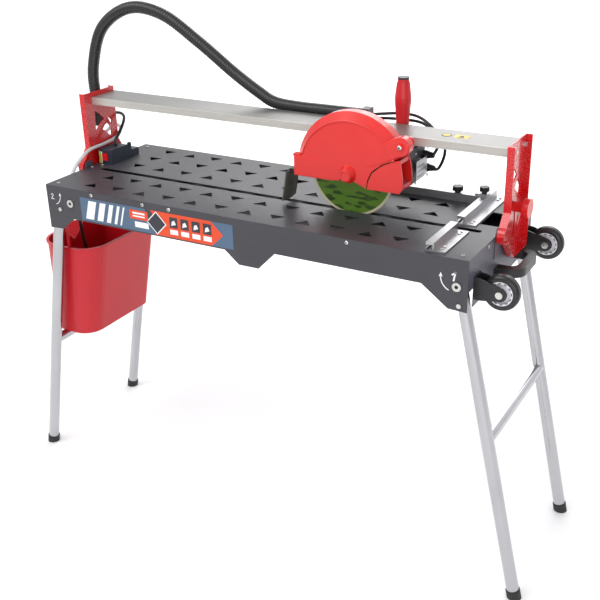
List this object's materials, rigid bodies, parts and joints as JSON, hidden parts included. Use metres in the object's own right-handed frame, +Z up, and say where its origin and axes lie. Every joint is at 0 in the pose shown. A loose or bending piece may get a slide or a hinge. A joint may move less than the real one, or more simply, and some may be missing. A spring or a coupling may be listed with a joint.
{
  "type": "wet tile saw",
  "caption": "Rail tile saw on a folding stand: its motor head slides along a tilting bridge over a perforated table with a fence, water bucket and transport wheels",
  "frame": {"origin": "on the floor under the centre of the footprint", "axes": "+X along the rail towards the transport wheels, +Y to the back, +Z up"},
  "size_m": [1.3977, 0.404, 1.1938],
  "materials": {
    "powder_coat": "anthracite textured powder coat",
    "zinc_steel": "zinc plated",
    "chromed_tube": "bright plated tube",
    "bare_aluminium": "brushed extrusion",
    "red_paint": "glossy enamel",
    "red_plastic": "moulded plastic",
    "black_plastic": "moulded plastic",
    "navy_plastic": "moulded plastic",
    "tyre_rubber": "solid rubber",
    "hub_plastic": "moulded plastic",
    "motor_paint": "dark grey enamel on castings",
    "shaft_steel": "machined",
    "roller_nylon": "moulded nylon",
    "blade_paint": "printed green core with a bare diamond rim",
    "flap_rubber": "rubber sheet",
    "grip_plastic": "red moulded plastic with a black cap",
    "conduit_plastic": "corrugated conduit",
    "cable_rubber": "cable sheath",
    "clear_hose": "clear vinyl hose"
  },
  "bodies": {
    "table": {"front_apron": "powder_coat", "rear_apron": "powder_coat", "left_end_panel": "powder_coat", "right_end_panel": "powder_coat", "front_deck": "powder_coat", "rear_deck": "powder_coat", "water_tray": "powder_coat", "deck_screws": "zinc_steel", "pivot_bolts": "zinc_steel", "bucket_hanger": "zinc_steel", "front_fence": "bare_aluminium", "rear_fence": "bare_aluminium", "carry_handle": "black_plastic", "wheel_brackets": "black_plastic", "wheel_axles": "zinc_steel", "tilt_bracket": "powder_coat", "tilt_bolts": "zinc_steel", "electrical_box": "navy_plastic", "feed_cable": "cable_rubber", "feed_hose": "clear_hose"},
    "left_leg_frame": {"left_front_leg": "chromed_tube", "left_rear_leg": "chromed_tube", "left_crossbar": "chromed_tube", "left_pivot_plates": "zinc_steel", "left_feet": "black_plastic"},
    "right_leg_frame": {"right_front_leg": "chromed_tube", "right_rear_leg": "chromed_tube", "right_crossbar": "chromed_tube", "right_feet": "black_plastic"},
    "front_wheel": {"front_tyre": "tyre_rubber", "front_hub": "hub_plastic"},
    "rear_wheel": {"rear_tyre": "tyre_rubber", "rear_hub": "hub_plastic"},
    "bucket": {"bucket": "red_plastic", "water_pump": "black_plastic", "pump_hose": "cable_rubber"},
    "guide": {"guide_bar": "bare_aluminium"},
    "guide_knob": {"guide_knob": "black_plastic"},
    "stop_knob": {"stop_knob": "black_plastic"},
    "tilt_knob": {"tilt_clamp_knob": "red_plastic"},
    "power_switch": {"power_switch": "red_plastic"},
    "bridge": {"rail": "bare_aluminium", "rail_bolts": "zinc_steel", "left_support": "red_paint", "right_support": "red_paint", "conduit_socket": "black_plastic"},
    "head": {"carriage": "motor_paint", "motor_housing": "motor_paint", "motor_end_cap": "motor_paint", "terminal_box": "motor_paint", "guard_back": "red_paint", "handle_grip": "grip_plastic", "conduit": "conduit_plastic", "head_cables": "cable_rubber"},
    "left_rollers": {"left_rollers": "roller_nylon"},
    "right_rollers": {"right_rollers": "roller_nylon"},
    "spindle": {"rotor": "shaft_steel", "blade": "blade_paint"},
    "cover": {"guard_cover": "red_paint", "splash_flap": "flap_rubber"}
  },
  "joints": [
    {"name": "rail_tilt", "type": "hinge", "parent": "table", "child": "bridge", "pos_m": [0, -0.036, 0.79], "axis": [1, 0, 0], "range_deg": [0, 45], "deforming": ["feed_cable", "feed_hose", "splash_flap"]},
    {"name": "head_slide", "type": "slide", "parent": "bridge", "child": "head", "axis": [1, 0, 0], "range_m": [-0.58, 0.14], "deforming": ["conduit"]},
    {"name": "left_roller_spin", "type": "hinge", "parent": "head", "child": "left_rollers", "pos_m": [0.158, 0.05, 0.952], "axis": [0, 1, 0], "continuous": true},
    {"name": "right_roller_spin", "type": "hinge", "parent": "head", "child": "right_rollers", "pos_m": [0.308, 0.05, 0.952], "axis": [0, 1, 0], "continuous": true},
    {"name": "blade_spin", "type": "hinge", "parent": "head", "child": "spindle", "pos_m": [0.213, -0.036, 0.88], "axis": [0, 1, 0], "continuous": true},
    {"name": "guard_lift", "type": "hinge", "parent": "head", "child": "cover", "pos_m": [0.337, -0.05, 0.955], "axis": [0, 1, 0], "range_deg": [0, 55]},
    {"name": "left_leg_fold", "type": "hinge", "parent": "table", "child": "left_leg_frame", "pos_m": [-0.474, 0, 0.7515], "axis": [0, -1, 0], "range_deg": [0, 101.2]},
    {"name": "right_leg_fold", "type": "hinge", "parent": "table", "child": "right_leg_frame", "pos_m": [0.527, 0, 0.7315], "axis": [0, 1, 0], "range_deg": [0, 102.5]},
    {"name": "front_wheel_spin", "type": "hinge", "parent": "table", "child": "front_wheel", "pos_m": [0.604, -0.15, 0.716], "axis": [0, 1, 0], "continuous": true},
    {"name": "rear_wheel_spin", "type": "hinge", "parent": "table", "child": "rear_wheel", "pos_m": [0.604, 0.15, 0.716], "axis": [0, 1, 0], "continuous": true},
    {"name": "bucket_lift", "type": "slide", "parent": "table", "child": "bucket", "axis": [0, 0, 1], "range_m": [0, 0.025], "deforming": ["pump_hose"]},
    {"name": "guide_slide", "type": "slide", "parent": "table", "child": "guide", "axis": [0, 1, 0], "range_m": [-0.11, 0.03]},
    {"name": "guide_knob_turn", "type": "hinge", "parent": "guide", "child": "guide_knob", "pos_m": [0.456, 0.138, 0.8133], "axis": [0, 0, 1], "range_deg": [-170, 170]},
    {"name": "stop_knob_turn", "type": "hinge", "parent": "guide", "child": "stop_knob", "pos_m": [0.396, 0.13, 0.8093], "axis": [0, 0, 1], "range_deg": [-170, 170]},
    {"name": "tilt_clamp_turn", "type": "hinge", "parent": "table", "child": "tilt_knob", "pos_m": [0.56, 0.036, 0.83], "axis": [1, 0, 0], "range_deg": [-170, 170]},
    {"name": "power_switch_rock", "type": "hinge", "parent": "table", "child": "power_switch", "pos_m": [-0.525, 0.003, 0.809], "axis": [1, 0, 0], "range_deg": [-8, 8]}
  ],
  "couplings": [
    {"joint": "left_roller_spin", "follows": "head_slide", "rad_per_m": 161.29},
    {"joint": "right_roller_spin", "follows": "head_slide", "rad_per_m": 161.29}
  ]
}
